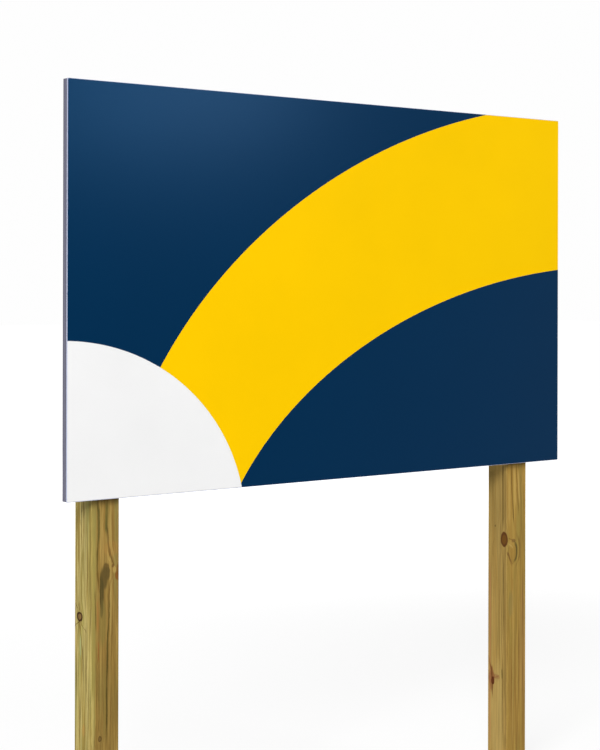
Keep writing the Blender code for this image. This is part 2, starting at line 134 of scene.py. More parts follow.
def seenRay(tree):
    # 1 for a ray from the camera, a reflection or glass, and 0 for one that only lights a surface
    rays = addNode(tree, "LightPath")
    seen = addNode(tree, "Math", {
        0: rays.outputs["Is Camera Ray"], 1: rays.outputs["Is Glossy Ray"],
    }, operation="MAXIMUM")
    return addNode(tree, "Math", {
        0: seen, 1: rays.outputs["Is Transmission Ray"],
    }, operation="MAXIMUM")


def makeWorld():
    world = bpy.data.worlds.new("studio")
    bpy.context.scene.world = world
    world.use_nodes = True
    tree = world.node_tree
    tree.nodes.clear()
    level = addNode(tree, "MapRange", {
        "Value": seenRay(tree), "To Min": studio["ambient"], "To Max": studio["background"],
    })
    sky = addNode(tree, "Background", {"Color": linear("#FFFFFF"), "Strength": level})
    addNode(tree, "OutputWorld", {"Surface": sky})


def makeFloor():
    half = studio["floorHalf"]
    mesh = bpy.data.meshes.new("floor")
    corners = [(-half, -half, 0), (half, -half, 0), (half, half, 0), (-half, half, 0)]
    mesh.from_pydata(corners, [], [(0, 1, 2, 3)])
    floor = bpy.data.objects.new("floor", mesh)
    bpy.context.scene.collection.objects.link(floor)
    # painted studio floor: matt, and white to the eye while it keeps the board's shadow
    material, tree = newMaterial("mattStudioPaint")
    seen = seenRay(tree)
    place = addNode(tree, "NewGeometry").outputs["Position"]
    away = addNode(tree, "VectorMath", {0: place}, operation="LENGTH")
    level = addNode(tree, "MapRange", {
        "Value": away.outputs["Value"],
        "From Min": studio["nearRadius"], "From Max": studio["farRadius"],
        "To Min": studio["floorNear"], "To Max": studio["floorFar"],
    }, interpolation_type="SMOOTHSTEP")
    level = addNode(tree, "Math", {0: seen, 1: level}, operation="MULTIPLY")
    paint = addNode(tree, "BsdfDiffuse", {"Color": linear(studio["floorColour"])})
    glow = addNode(tree, "Emission", {"Strength": level})
    both = addNode(tree, "AddShader", {0: paint, 1: glow})
    addNode(tree, "OutputMaterial", {"Surface": both})
    mesh.materials.append(material)


def makeLamps():
    for name, (place, target, width, height, power, colour) in lamps.items():
        data = bpy.data.lights.new(name, "AREA")
        data.shape = "RECTANGLE"
        data.size = width
        data.size_y = height
        data.energy = power
        data.color = linear(colour)[:3]
        lamp = bpy.data.objects.new(name, data)
        aim = Vector(target) - Vector(place)
        lamp.matrix_world = (
            Matrix.Translation(place) @ aim.to_track_quat("-Z", "Y").to_matrix().to_4x4()
        )
        lamp.visible_camera = False
        bpy.context.scene.collection.objects.link(lamp)


# Printed film

# Self-adhesive PVC film, printed in flat colours under a satin laminate: even colour with a soft,
# weak sheen, a slight cloudiness of the ink, and the fine orange peel of the laminate.
films = {
    "white_film": {"colour": "#F4F4F4", "sheenTint": "#FFFFFF", "level": 0.05},
    "yellow_film": {"colour": "#FFCC02", "sheenTint": "#FFC030", "level": 0.05},
    "navy_film": {"colour": "#00294A", "sheenTint": "#5CB2FF", "level": 0.11},
}
filmSurface = {
    "roughness": 0.24,
    "cloud": 300 * mm,       # size of the ink's soft clouds
    "cloudDepth": 0.02,
    "peel": 3 * mm,          # the laminate's orange peel, about 1 mm in truth, drawn coarser to show
    "peelHeight": 0.01 * mm,
    "peelStrength": 0.4,
    "edge": 4 * mm,          # up from the sheet's lower edge: the film's lowest strip, which gets a painted shade
    "rimPaintedShade": 0.80,       # what that painted shade leaves of the film's colour
}


def printedFilm(name, look):
    material, tree = newMaterial(name + "SatinPvc")
    place = addNode(tree, "TexCoord").outputs["Object"]
    cloud = addNode(tree, "TexNoise", {
        "Vector": place, "Scale": 1 / filmSurface["cloud"], "Detail": 3.0,
    })
    gain = addNode(tree, "MapRange", {
        "Value": cloud, "From Min": noiseLow, "From Max": noiseHigh,
        "To Min": 1 - filmSurface["cloudDepth"], "To Max": 1 + filmSurface["cloudDepth"],
    })
    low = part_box("face_sheet")[0][2]
    height = addNode(tree, "SeparateXYZ", {"Vector": place}).outputs["Z"]
    # painted shade: the film darkens towards the sheet's lower edge
    edge = addNode(tree, "MapRange", {
        "Value": height, "From Min": low, "From Max": low + filmSurface["edge"],
        "To Min": filmSurface["rimPaintedShade"], "To Max": 1.0,
    })
    gain = addNode(tree, "Math", {0: gain, 1: edge}, operation="MULTIPLY")
    ink = addNode(tree, "VectorMath", {
        0: linear(look["colour"])[:3], "Scale": gain,
    }, operation="SCALE")
    peel = addNode(tree, "TexNoise", {
        "Vector": place, "Scale": 1 / filmSurface["peel"], "Detail": 2.0,
    })
    bump = addNode(tree, "Bump", {
        "Height": peel,
        "Strength": filmSurface["peelStrength"], "Distance": filmSurface["peelHeight"],
    })
    finishMaterial(tree, {
        "Base Color": ink,
        "Roughness": filmSurface["roughness"],
        "Specular IOR Level": look["level"],
        "Specular Tint": linear(look["sheenTint"]),
        "Normal": bump,
    })
    return material


def dressFilms():
    # the navy's two fields are tiles of one film
    for name, look in films.items():
        dressAll(name, printedFilm(name, look))
    print("films dressed")


# Composite sheet

# Aluminium composite sheet: lacquered skins on a plastic core, sawn at the edge. Smooth pale
# lacquer in front, a duller service coat behind, and at the edge two bright lines beside the core.
sheetLook = {
    "front": "#B8BEDA",
    "rear": "#A9ACB4",
    "skin": "#C9CDDD",
    "core": "#AEB4CE",
    "skinThickness": 0.5 * mm,
    "streaks": (1.2, 1.0, 260.0),   # per metre: long along the sheet, and about 4 mm apart up it
    "streakGain": (0.95, 1.04),
    "sawPitch": 0.7 * mm,
    "sawDepth": 0.05 * mm,
    "sawStrength": 0.25,
    "roughness": 0.42,
    "level": 0.3,
}


def compositeSheet():
    low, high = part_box("face_sheet")
    front, rear = low[1], high[1]
    material, tree = newMaterial("lacqueredComposite")
    place = addNode(tree, "TexCoord").outputs["Object"]
    depth = addNode(tree, "SeparateXYZ", {"Vector": place}).outputs["Y"]
    fromMiddle = distanceFrom(tree, depth, (front + rear) / 2)
    inSkin = addNode(tree, "Math", {
        0: fromMiddle, 1: (rear - front) / 2 - sheetLook["skinThickness"],
    }, operation="GREATER_THAN")
    normal = addNode(tree, "NewGeometry").outputs["Normal"]
    towards = addNode(tree, "SeparateXYZ", {"Vector": normal}).outputs["Y"]
    isFront = addNode(tree, "Math", {0: towards, 1: -squareOn}, operation="LESS_THAN")
    isRear = addNode(tree, "Math", {0: towards, 1: squareOn}, operation="GREATER_THAN")
    edge = addNode(tree, "MixRGB", {
        "Fac": inSkin, "Color1": linear(sheetLook["core"]), "Color2": linear(sheetLook["skin"]),
    })
    colour = addNode(tree, "MixRGB", {
        "Fac": isFront, "Color1": edge, "Color2": linear(sheetLook["front"]),
    })
    colour = addNode(tree, "MixRGB", {
        "Fac": isRear, "Color1": colour, "Color2": linear(sheetLook["rear"]),
    })
    # coil-coated skins: faint rolling streaks along the sheet
    rolled = addNode(tree, "Mapping", {"Vector": place, "Scale": sheetLook["streaks"]})
    streaks = addNode(tree, "TexNoise", {"Vector": rolled, "Scale": 1.0, "Detail": 3.0})
    gain = addNode(tree, "MapRange", {
        "Value": streaks, "From Min": noiseLow, "From Max": noiseHigh,
        "To Min": sheetLook["streakGain"][0], "To Max": sheetLook["streakGain"][1],
    })
    colour = addNode(tree, "VectorMath", {0: colour, "Scale": gain}, operation="SCALE")
    saw = addNode(tree, "TexNoise", {
        "Vector": place, "Scale": 1 / sheetLook["sawPitch"], "Detail": 1.0,
    })
    bump = addNode(tree, "Bump", {
        "Height": saw, "Strength": sheetLook["sawStrength"], "Distance": sheetLook["sawDepth"],
    })
    finishMaterial(tree, {
        "Base Color": colour, "Roughness": sheetLook["roughness"],
        "Specular IOR Level": sheetLook["level"], "Normal": bump,
    })
    dress(["face_sheet"], material)
    print("sheet dressed")


# Foam tape

# Acrylic foam tape: soft grey closed-cell foam with a matt, finely pitted cut edge.
tapeLook = {
    "colour": "#77798C",
    "pit": 0.8 * mm,         # the cut cells, about 0.2 mm in truth, drawn coarser to show
    "pitDepth": 0.1 * mm,
    "pitStrength": 0.5,
    # the colour's gain from a pit's floor to its rim: painted shade in the hollows
    "pitPaintedShade": (0.85, 1.08),
    "roughness": 0.9,
    "level": 0.2,
}


def foamTape():
    material, tree = newMaterial("acrylicFoam")
    place = addNode(tree, "TexCoord").outputs["Object"]
    pits = addNode(tree, "TexVoronoi", {"Vector": place, "Scale": 1 / tapeLook["pit"]})
    # the pits are drawn darker than their rims: painted shade in the hollows
    gain = addNode(tree, "MapRange", {
        "Value": pits.outputs["Distance"],
        "To Min": tapeLook["pitPaintedShade"][0], "To Max": tapeLook["pitPaintedShade"][1],
    })
    colour = addNode(tree, "VectorMath", {
        0: linear(tapeLook["colour"])[:3], "Scale": gain,
    }, operation="SCALE")
    bump = addNode(tree, "Bump", {
        "Height": pits.outputs["Distance"],
        "Strength": tapeLook["pitStrength"], "Distance": tapeLook["pitDepth"],
    })
    finishMaterial(tree, {
        "Base Color": colour, "Roughness": tapeLook["roughness"],
        "Specular IOR Level": tapeLook["level"], "Normal": bump,
    })
    dressAll("foam_tape", material)
    print("tape dressed")


# Aluminium frame

# Extruded aluminium, etched and anodised a purple grey: satin, with faint die lines along each
# length, and a paler band along the middle of the tube's depth that is a painted highlight.
anodised = {
    "colour": "#545465",
    # the colour of the painted highlight
    "pale": "#69687D",
    "highlightHalf": 2 * mm,       # the painted highlight either side of the middle of the tube's depth
    "highlightEnd": 8 * mm,        # and where it has faded out
    "dieLine": 1.1 * mm,      # about 0.3 mm in truth, drawn coarser to show
    "dieLineLength": 1250 * mm,
    "dieLineDepth": 0.02 * mm,
    "dieLineStrength": 0.3,
    "dieLineGain": (0.94, 1.06),
    "roughness": (0.33, 0.44),
    "metallic": 0.6,          # the dyed oxide hides a part of the metal's shine
}


def anodisedAluminium(name, along):
    # along: the axis of the extrusion, 0 for X and 2 for Z
    material, tree = newMaterial(name)
    place = addNode(tree, "TexCoord").outputs["Object"]
    scale = [1 / anodised["dieLine"]] * 3
    scale[along] = 1 / anodised["dieLineLength"]
    stretched = addNode(tree, "Mapping", {"Vector": place, "Scale": tuple(scale)})
    lines = addNode(tree, "TexNoise", {"Vector": stretched, "Scale": 1.0, "Detail": 2.0})
    # painted highlight towards the middle of the tube's depth
    low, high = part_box("frame_left")
    depth = addNode(tree, "SeparateXYZ", {"Vector": place}).outputs["Y"]
    paintedHighlight = addNode(tree, "MapRange", {
        "Value": distanceFrom(tree, depth, (low[1] + high[1]) / 2),
        "From Min": anodised["highlightHalf"], "From Max": anodised["highlightEnd"],
        "To Min": 1.0, "To Max": 0.0,
    }, interpolation_type="SMOOTHSTEP")
    colour = addNode(tree, "MixRGB", {
        "Fac": paintedHighlight, "Color1": linear(anodised["colour"]), "Color2": linear(anodised["pale"]),
    })
    gain = addNode(tree, "MapRange", {
        "Value": lines, "From Min": noiseLow, "From Max": noiseHigh,
        "To Min": anodised["dieLineGain"][0], "To Max": anodised["dieLineGain"][1],
    })
    colour = addNode(tree, "VectorMath", {0: colour, "Scale": gain}, operation="SCALE")
    roughness = addNode(tree, "MapRange", {
        "Value": lines, "From Min": noiseLow, "From Max": noiseHigh,
        "To Min": anodised["roughness"][0], "To Max": anodised["roughness"][1],
    })
    bump = addNode(tree, "Bump", {
        "Height": lines,
        "Strength": anodised["dieLineStrength"], "Distance": anodised["dieLineDepth"],
    })
    finishMaterial(tree, {
        "Base Color": colour, "Metallic": anodised["metallic"],
        "Roughness": roughness, "Normal": bump,
    })
    return material


def dressFrame():
    stile = anodisedAluminium("anodisedStile", 2)
    rail = anodisedAluminium("anodisedRail", 0)
    dress(["frame_left", "frame_right"], stile)
    dress(["frame_top", "frame_bottom"], rail)
    dressAll("cross_rail", rail)
    dressAll("rail_cleat", rail)
    print("frame dressed")


# Fixings

# Zinc plate on rolled steel, clear passivated: cool bright grey with a faint yellow cast in
# patches, slightly dull, with fine tumbling marks.
# Aluminium blind rivets: plain drawn metal, softer and more even.
# Nylon keys: moulded black plastic with a fine spark-eroded grain.
fixings = {
    "zincPlate": {
        "nodes": ["post_bolt", "bolt_washer", "rivet_nut"],
        "base": "#A3A6AC", "cast": "#B3AD96", "patch": 9 * mm, "roughness": 0.34, "metallic": 1.0,
    },
    "drawnAluminium": {
        "nodes": ["cleat_rivet"],
        "base": "#CDCFD2", "cast": "#BDBFC4", "patch": 6 * mm, "roughness": 0.36, "metallic": 1.0,
    },
    "mouldedNylon": {
        "nodes": ["corner_key"],
        "base": "#3A3A3D", "cast": "#303033", "patch": 5 * mm, "roughness": 0.55, "metallic": 0.0,
    },
}
fixingMarks = {
    "size": 0.6 * mm,        # about 0.1 mm in truth, drawn coarser to show
    "depth": 0.03 * mm,
    "strength": 0.3,
    "roughnessSwing": 0.08,
    "patchNoise": (0.40, 0.65),     # noise between which the base turns to the cast
}


def fixingMaterial(name, look):
    material, tree = newMaterial(name)
    place = addNode(tree, "TexCoord").outputs["Object"]
    patches = addNode(tree, "TexNoise", {
        "Vector": place, "Scale": 1 / look["patch"], "Detail": 3.0,
    })
    share = addNode(tree, "MapRange", {
        "Value": patches,
        "From Min": fixingMarks["patchNoise"][0], "From Max": fixingMarks["patchNoise"][1],
    })
    colour = addNode(tree, "MixRGB", {
        "Fac": share, "Color1": linear(look["base"]), "Color2": linear(look["cast"]),
    })
    marks = addNode(tree, "TexNoise", {
        "Vector": place, "Scale": 1 / fixingMarks["size"], "Detail": 2.0,
    })
    roughness = addNode(tree, "MapRange", {
        "Value": marks, "From Min": noiseLow, "From Max": noiseHigh,
        "To Min": look["roughness"] - fixingMarks["roughnessSwing"],
        "To Max": look["roughness"] + fixingMarks["roughnessSwing"],
    })
    bump = addNode(tree, "Bump", {
        "Height": marks, "Strength": fixingMarks["strength"], "Distance": fixingMarks["depth"],
    })
    finishMaterial(tree, {
        "Base Color": colour, "Metallic": look["metallic"], "Roughness": roughness, "Normal": bump,
    })
    return material


def dressFixings():
    for name, look in fixings.items():
        material = fixingMaterial(name, look)
        for start in look["nodes"]:
            dressAll(start, material)
    print("fixings dressed")


# Timber posts

# Pressure-treated pine, planed square: greenish yellow earlywood with browner latewood lines, olive
# where the salts gathered, brown dead knots with a dark ring, and a dry matt surface.
# Distances are in mm on a face: across it from its middle, towards larger X or Y, and up from the
# ground. A face's wood turns from light to dark in streaks, with the fleck colour where the salts
# gathered and the late colour in its thin latewood lines. Its grain is the contrast of streaks and
# fibres, and its tone and painted light is [(height, per cent lighter), ...]: lighter or darker by
# height, partly the wood's own tone and partly painted light and shade, as where a face's top is
# lightened against the board's shadow.
# A line is (colour, strength, half width, [(height, across), ...]), and fades out at its ends.
# A knot is (colour, rim colour, height, across, half height, half width).
# A patch is (colour, strength, height, across, half height, half width).
# The faces that the photograph doesn't show share these.
hiddenFace = {"late": "#775C2A", "toneAndPaintedLight": [(2200, 0), (1100, 0), (500, 6), (100, 8)], "grain": 1.4}
hiddenKnot = ("#7E5A32", "#4A2C10")
leftPost = {
    "node": "post_left",
    "seed": 3.1,
    "left": {
        "light": "#BFAE6D", "dark": "#96803F", "fleck": "#8A8848", "late": "#8A7A3C",
        # painted light: the top, where the board's shadow falls, is lightened
        "toneAndPaintedLight": [(1100, 20), (1040, 1), (960, -6), (870, 6), (400, 10)],
        "grain": 2.4,
        "lines": [
            ("#7C5C24", 0.50, 2.8, [(1100, 20), (1000, 19), (890, 18)]),
            ("#86682C", 0.35, 3.0, [(1055, 21), (1027, 14), (993, 8)]),
            ("#7A5F26", 0.50, 2.8, [(1004, 10), (976, 7), (950, 5)]),
            ("#7E6A2C", 0.50, 2.8, [(1086, 8), (1068, 9), (1045, 7)]),
            ("#80692C", 0.45, 2.5, [(1081, -6), (1035, -6), (977, -7)]),
            ("#CDBD80", 0.65, 3.0, [(1090, 3), (1010, 2), (930, 1)]),
            ("#8C7C3E", 0.35, 3.3, [(920, -6), (862, -7), (787, -8)]),
            ("#CBBB78", 0.40, 4.4, [(927, 29), (857, 28), (793, 29)]),
            ("#C4B470", 0.50, 4.0, [(1010, -18), (930, -19), (860, -19)]),
            # painted shade: a darker strip along the front arris, over the light that the rounded
            # arris catches
            ("#96823F", 0.65, 7.0, [(1140, -42), (880, -41), (700, -39), (540, -38)]),
            ("#4E3810", 0.80, 2.4, [(758, 18), (743, 20), (730, 32), (714, 49)]),
            ("#5E4516", 0.75, 2.4, [(762, 18), (744, 18), (728, 2), (708, -19)]),
            ("#64511C", 0.80, 2.6, [(770, 18), (745, 18), (686, 9), (636, 0), (544, -3)]),
            ("#7A6A2C", 0.65, 2.6, [(770, 19), (742, 22), (683, 30), (618, 33), (508, 32)]),
            ("#4E3810", 0.60, 2.2, [(792, 42), (782, 36), (772, 27)]),
            ("#4E3810", 0.55, 2.0, [(796, 22), (785, 20), (770, 19)]),
            ("#8A7434", 0.50, 2.5, [(800, 20), (783, 20), (769, 19)]),
            ("#8C7E40", 0.35, 2.8, [(661, -16), (518, -18), (379, -16)]),
            ("#8C7E40", 0.30, 2.8, [(540, 17), (454, 14), (372, 16)]),
        ],
        "knots": [
            ("#86673A", "#3A2004", 753, 18, 13, 14),
        ],
        "patches": [
            ("#7A6A34", 0.25, 1060, -31, 30, 12),
            ("#A9B583", 0.45, 671, 14, 35, 5),
            ("#C5B471", 0.25, 683, 32, 58, 7),
            ("#B88A48", 0.40, 428, -5, 17, 9),
            ("#A6924E", 0.45, 924, -40, 173, 9),
        ],
    },
    "front": {
        "light": "#A98C49", "dark": "#8B6E33", "fleck": "#7C763E", "late": "#73592A",
        "toneAndPaintedLight": [(1100, 13), (900, 8), (750, 1), (600, -1), (380, -3)],
        "grain": 1.45,
        "lines": [
            ("#A0914C", 0.95, 8.6, [(1125, -40), (809, -40), (522, -41), (372, -40)]),
            ("#544E20", 0.76, 4.0, [(1098, -30), (1072, -24), (1037, -23), (994, -23), (951, -25)]),
            ("#5E4E1C", 0.75, 2.7, [(980, -25), (943, -27), (908, -28), (877, -26), (836, -23)]),
            ("#6A4A1A", 0.60, 2.4, [(900, -26), (865, -24), (825, -23)]),
            ("#5E4A1C", 0.65, 2.0, [(852, -35), (808, -34), (751, -32), (705, -31)]),
            ("#6B5522", 0.55, 1.7, [(693, -30), (621, -27), (549, -27), (486, -28)]),
            ("#605826", 0.85, 7.1, [(1105, 3), (1058, 4), (1024, 2), (983, 4)]),
            ("#57401A", 0.75, 2.4, [(1029, 5), (992, 8), (954, 11), (927, 16), (909, 24)]),
            ("#AE934E", 0.26, 3.4, [
                (1086, 16), (1020, 15), (973, 17), (938, 23), (912, 32), (900, 34),
            ]),
            ("#77571F", 0.42, 1.5, [(1074, 23), (1005, 22), (958, 25), (926, 32)]),
            ("#86652B", 0.36, 1.5, [(1068, 31), (990, 30), (928, 35)]),
            ("#7F5E26", 0.34, 1.5, [(1079, 40), (974, 39), (910, 41)]),
            ("#6B4A1C", 0.50, 1.7, [(875, 23), (861, 17), (832, 14), (803, 13)]),
            ("#4E4318", 0.80, 3.2, [
                (838, 9), (792, 13), (746, 12), (706, 8), (645, 7), (544, 5), (365, 6),
            ]),
            ("#B99C58", 0.25, 2.4, [(832, 18), (768, 19), (687, 15), (572, 14), (369, 14)]),
            ("#6B5020", 0.55, 1.7, [(837, 23), (744, 24), (658, 21), (513, 20), (368, 20)]),
            ("#7A5B28", 0.40, 1.5, [(813, 32), (685, 33), (511, 31), (366, 32)]),
            ("#7A5B28", 0.38, 2.4, [(1090, 43), (684, 43), (365, 43)]),
            ("#A35E2C", 0.55, 1.7, [(698, -24), (663, -23), (623, -23)]),
            ("#CBB66C", 0.60, 4.5, [(560, -42), (450, -42), (340, -42)]),
            ("#6B5522", 0.55, 1.7, [(457, -31), (426, -33), (400, -34), (371, -31)]),
            ("#6B5522", 0.50, 1.5, [(468, -23), (439, -21), (421, -19)]),
            ("#7E7438", 0.40, 4.0, [(646, -3), (516, -2), (372, -3)]),
            ("#BEA25C", 0.38, 2.0, [(1059, 18), (992, 19), (948, 24), (915, 32), (900, 38)]),
            ("#BEA25C", 0.42, 1.9, [(884, 34), (872, 30), (850, 21), (804, 17), (689, 17)]),
            ("#C2A35A", 0.32, 2.0, [(955, 7), (929, 9), (911, 18), (902, 22)]),
            ("#5A3E16", 0.70, 1.7, [(963, 14), (931, 19), (907, 28), (892, 37)]),
            ("#5F4A1C", 0.55, 1.5, [(693, -22), (621, -21), (549, -22), (475, -22)]),
            ("#A2622E", 0.45, 3.0, [(821, -27), (774, -26), (705, -26)]),
            ("#4A4018", 0.60, 1.5, [(894, -16), (854, -17), (808, -17), (773, -16)]),
        ],
        "knots": [
            ("#79602F", "#634A22", 407, -17, 7, 5),
        ],
        "patches": [
            ("#B4823E", 0.30, 953, 20, 23, 27),
            ("#6A5428", 0.92, 900, 2, 14, 11),
            ("#6A5428", 0.90, 890, 8, 10, 8),
            ("#625026", 0.95, 869, -5, 33, 14),
            ("#584B24", 0.95, 826, -12, 46, 8),
            ("#86783C", 0.75, 738, -8, 66, 11),
            ("#BC9C54", 0.65, 893, 31, 13, 6),
            ("#5E3A1C", 0.60, 904, 25, 5, 4),
            ("#82501E", 0.90, 873, 40, 13, 8),
            ("#7A4E1C", 0.75, 890, 42, 17, 5),
            ("#B3924E", 0.50, 964, -11, 69, 8),
            ("#8A6A30", 0.30, 546, -5, 259, 54),
            ("#7E6A34", 0.45, 1065, -41, 26, 8),
            ("#625026", 0.90, 881, 4, 20, 12),
            ("#5E5228", 0.60, 779, -12, 26, 5),
        ],
    },
    "rear": {
        **hiddenFace, "light": "#AE9751", "dark": "#917534", "fleck": "#7D7A44",
        "lines": [
            ("#6B5420", 0.50, 2.4, [(2250, -24), (1500, -18), (900, -26), (100, -20)]),
            ("#57491A", 0.45, 3.0, [(2250, 12), (1700, 20), (1000, 14), (50, 22)]),
            ("#7A5A24", 0.40, 2.0, [(1200, -4), (700, 0), (60, -6)]),
        ],
        "knots": [(*hiddenKnot, 1650, 18, 14, 11), (*hiddenKnot, 620, -14, 17, 12)],
        "patches": [("#7F7C42", 0.45, 1150, -20, 160, 14)],
    },
    "right": {
        **hiddenFace, "light": "#AE934C", "dark": "#8F7132", "fleck": "#7D7A44",
        "lines": [
            ("#6B5420", 0.50, 2.4, [(2250, 20), (1400, 26), (800, 18), (60, 24)]),
            ("#57491A", 0.40, 2.6, [(2250, -16), (1300, -10), (50, -18)]),
        ],
        "knots": [(*hiddenKnot, 905, -30, 15, 12)],
        "patches": [("#7F7C42", 0.45, 560, 10, 180, 12)],
    },
}
rightPost = {
    "node": "post_right",
    "seed": 17.4,
    "left": {
        "light": "#AE9252", "dark": "#98783A", "fleck": "#947D43", "late": "#7C6734",
        # painted light: the top, where the board's shadow falls, is lightened strongly; lower down
        # the face is lighter again
        "toneAndPaintedLight": [
            (1100, 58), (1070, 42), (1035, 5), (900, 0), (800, 7), (650, 13), (450, 20), (300, 26),
        ],
        "grain": 0.85,
        "lines": [
            # a darker strip by the front arris: partly the wood, partly painted shade over the light
            # that the arris catches
            ("#92763C", 0.75, 7.4, [(1127, -38), (623, -38), (60, -39)]),
            ("#6B5526", 0.70, 5.0, [(1127, -27), (1004, -27), (851, -28)]),
            ("#6B5526", 0.55, 3.0, [(813, -31), (760, -30), (621, -32), (482, -29)]),
            ("#B27C50", 0.55, 4.4, [(770, 36), (577, 34), (331, 35), (78, 34)]),
            ("#7C6430", 0.45, 2.5, [(839, 15), (803, 22), (768, 21), (755, 12)]),
            ("#6B421C", 0.75, 2.5, [(400, 39), (377, 32), (350, 25), (298, 22), (263, 22)]),
            ("#6B5526", 0.60, 2.5, [(481, -25), (307, -27), (91, -26)]),
            ("#C49E58", 0.55, 3.0, [(309, -35), (222, -37), (128, -38)]),
            ("#8A703C", 0.60, 3.6, [(1120, -16), (968, -15), (760, -14), (560, -14)]),
            ("#8A6F3A", 0.50, 3.0, [(660, -22), (540, -23), (410, -23)]),
            ("#7A4A24", 0.70, 3.0, [(422, 41), (388, 34), (354, 25)]),
            ("#8A5A34", 0.60, 3.5, [(341, 22), (349, 8), (357, -12)]),
        ],
        "knots": [
            ("#694517", "#5A3616", 833, -33, 23, 15),
            ("#5E2E12", "#56280C", 333, 21, 12, 6),
        ],
        "patches": [
            ("#6E5A2C", 0.80, 876, 11, 4, 4),
            ("#84502C", 0.75, 339, 28, 44, 12),
            ("#9C7446", 0.45, 347, 2, 14, 13),
            ("#70602E", 0.65, 362, -24, 18, 4),
            ("#C0A868", 0.35, 197, 0, 211, 30),
            ("#84502C", 0.70, 343, 27, 23, 16),
            ("#94643A", 0.50, 349, 4, 8, 17),
        ],
    },
    "front": {
        "light": "#B8974A", "dark": "#9B7735", "fleck": "#92813E", "late": "#7A5E2C",
        "toneAndPaintedLight": [(1100, 2), (1000, 3), (900, 1), (700, -2), (400, -5), (280, -5)],
        "grain": 0.9,
        "lines": [
            ("#6B5020", 0.70, 3.5, [(1116, -26), (1039, -24), (969, -20), (913, -16), (857, -10)]),
            ("#6B5020", 0.65, 3.2, [(1114, -3), (1037, 1), (967, 6), (904, 9)]),
            ("#CCA862", 0.42, 4.0, [(1108, -14), (1021, -10), (933, -5)]),
            ("#D0AC64", 0.45, 3.5, [(1086, 8), (1019, 10), (945, 14)]),
            ("#C6A45C", 0.40, 5.9, [(1075, -37), (970, -36), (866, -36)]),
            ("#7A6230", 0.45, 2.5, [(1099, 22), (966, 23), (860, 26), (783, 35)]),
            ("#7A6230", 0.40, 2.5, [(1084, 33), (895, 34), (754, 39)]),
            ("#665729", 0.80, 4.9, [
                (838, -16), (820, -7), (796, 1), (772, -1), (752, -12), (739, -23),
            ]),
            ("#74522A", 0.62, 4.0, [(801, -49), (783, -40), (761, -31), (739, -25)]),
            ("#6B4C22", 0.60, 3.0, [(840, -40), (834, -27), (826, -17)]),
            ("#8A7038", 0.40, 3.0, [(848, 12), (798, 20), (749, 16)]),
            ("#6B5526", 0.50, 2.5, [(728, -46), (554, -48), (345, -47), (95, -48)]),
            ("#6E5428", 0.20, 2.7, [(633, -7), (514, -5), (396, -7)]),
            ("#75582A", 0.50, 2.7, [(575, 11), (407, 12), (191, 9)]),
            ("#7A5A30", 0.40, 4.0, [(755, 32), (439, 32), (82, 32)]),
            ("#8C6E38", 0.12, 3.0, [(691, -32), (413, -29), (99, -30)]),
            ("#C6A45C", 0.35, 3.0, [(690, -18), (480, -16), (97, -18)]),
            ("#5C4C24", 0.62, 3.5, [(824, -14), (808, -3), (790, 1), (766, -3), (749, -12)]),
            ("#74522A", 0.60, 3.0, [(791, -45), (773, -38), (751, -28)]),
            ("#CDB066", 0.40, 3.0, [(821, -39), (814, -29), (799, -20)]),
            ("#80622E", 0.62, 4.0, [(863, 1), (827, 11), (796, 15), (758, 8), (724, -4)]),
        ],
        "knots": [
            ("#6C481C", "#583414", 832, -59, 21, 14),
        ],
        "patches": [
            ("#74522C", 0.65, 827, -14, 7, 10),
            ("#C0A058", 0.25, 818, -32, 11, 10),
            ("#8A7A44", 0.50, 607, -27, 46, 13),
            ("#92702F", 0.45, 780, -16, 34, 14),
            ("#8E6A34", 0.22, 304, 0, 211, 44),
            ("#B58A50", 0.35, 475, 30, 211, 15),
        ],
    },
    "rear": {
        **hiddenFace, "light": "#AE954F", "dark": "#927435", "fleck": "#847B46",
        "lines": [
            ("#6B5420", 0.50, 2.4, [(2250, 22), (1500, 16), (800, 24), (60, 18)]),
            ("#57491A", 0.40, 2.8, [(2250, -10), (1300, -18), (50, -12)]),
        ],
        "knots": [(*hiddenKnot, 1320, -16, 15, 12), (*hiddenKnot, 480, 20, 13, 10)],
        "patches": [("#7F7C42", 0.40, 860, 22, 150, 12)],
    },
    "right": {
        **hiddenFace, "light": "#B09750", "dark": "#947636", "fleck": "#847B46",
        "lines": [
            ("#6B5420", 0.50, 2.4, [(2250, -20), (1200, -26), (60, -18)]),
            ("#57491A", 0.40, 2.6, [(2250, 14), (1500, 20), (700, 12), (50, 18)]),
        ],
        "knots": [(*hiddenKnot, 700, -12, 16, 12)],
        "patches": [("#7F7C42", 0.40, 1000, 8, 160, 12)],
    },
}
pine = {
    "tallest": 2300.0,        # mm, the height that the lines are plotted on
    "widest": 60.0,           # mm either side of a face's middle
    "wanderBy": (3.6, 0.0, 10.8),   # mm between a mark's farthest bends, across the face and up it
    "streakNoise": 0.14,      # noise either side of its middle that turns light wood to dark
    "saltNoise": (0.52, 0.75),      # noise between which the fleck colour comes in
    "saltShare": 0.6,
    "lateNoise": 0.045,       # noise either side of its middle that draws a latewood line
    "lateShare": 0.38,
    "fibreGain": 0.13,        # how much lighter and darker the fibres are
    "fibreDepth": 0.25 * mm,
    "fibreStrength": 0.5,
    "lineInk": (1.15, 0.65),  # how strongly a line is drawn on dark and on light fibres
    "lineGain": 1.2,
    "lineMost": 0.98,
    "crispSide": (-1.1, -0.3),      # in half widths, where a line sets in on its crisp side
    "softSide": (0.3, 1.6),   # and where it ends on its soft side
    "fadeShare": 0.25,        # of a line's length, over which each end fades out
    "fade": 90.0,             # mm, over which it fades out at most
    "patchEdge": (0.70, 1.20),      # in half sizes, where a patch fades out
    "knotHeart": (0.80, 1.00),      # and where a knot's inside ends
    "knotRim": 0.92,          # the middle of its dark rim
    "knotRimEdge": (0.10, 0.34),
    "pullTall": 2.8,          # the grain bends round a knot in an ellipse so many times its height
    "pullWide": 2.0,          # and its width
    "pullReach": 1.5,
    "pull": 0.85,
    "roughness": 0.78,
    "level": 0.15,
}
